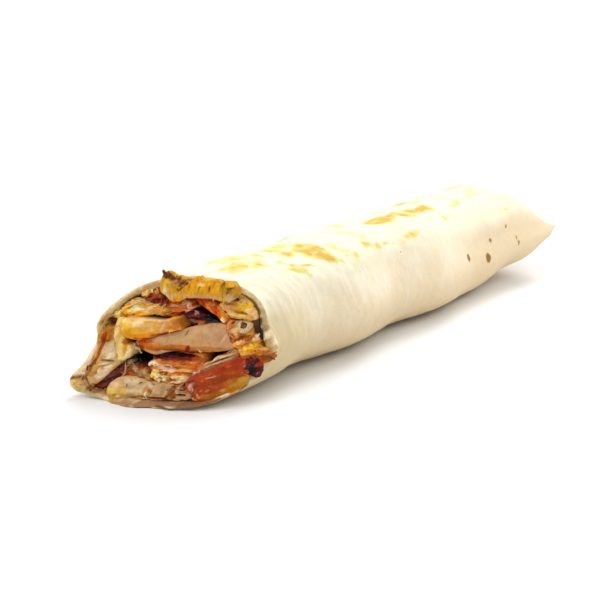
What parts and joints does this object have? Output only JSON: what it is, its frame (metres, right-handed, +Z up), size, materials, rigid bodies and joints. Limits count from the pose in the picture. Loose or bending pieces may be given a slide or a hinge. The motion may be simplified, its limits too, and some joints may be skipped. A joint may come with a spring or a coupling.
{
  "type": "doner kebab wrap",
  "caption": "Doner kebab wrap: lavash rolled round strips of chicken, tomato, onion and red cabbage, cut open at one end and pinched shut at the other.",
  "frame": {"origin": "middle of the footprint, on the surface the wrap lies on", "axes": "+Y along the wrap from the cut end to the pinched end, +X to the right when looking along +Y, +Z up"},
  "size_m": [0.0626, 0.269, 0.046],
  "materials": {
    "lavash": "soft floury flatbread, cream, with golden toasted streaks along the top",
    "chicken_golden": "moist, spiced golden-yellow roast chicken",
    "chicken_pale": "moist, fibrous, pale chicken breast",
    "chicken_brown": "moist, roasted orange-brown chicken",
    "red_onion": "wet, dark red-brown",
    "onion": "wet, translucent grey-beige with fine ribs",
    "tomato": "wet, red flesh fading to translucent orange",
    "red_cabbage": "wet, dark maroon"
  },
  "bodies": {
    "root": {"lavash": "lavash", "chicken_top": "chicken_golden", "chicken_nub": "chicken_brown", "chicken_upper_left": "chicken_golden", "chicken_upper_middle": "chicken_brown", "chicken_upper_right": "chicken_brown", "chicken_right_pale": "chicken_pale", "chicken_right_round": "chicken_pale", "chicken_right_lower": "chicken_golden", "red_onion": "red_onion", "chicken_golden": "chicken_golden", "chicken_hanging": "chicken_pale", "chicken_centre": "chicken_pale", "chicken_lower_middle": "chicken_brown", "onion_slice": "onion", "tomato": "tomato", "red_cabbage_right": "red_cabbage", "chicken_bottom": "chicken_pale", "chicken_left": "chicken_pale", "red_cabbage_left": "red_cabbage", "chicken_shreds": "chicken_brown"}
  },
  "joints": []
}
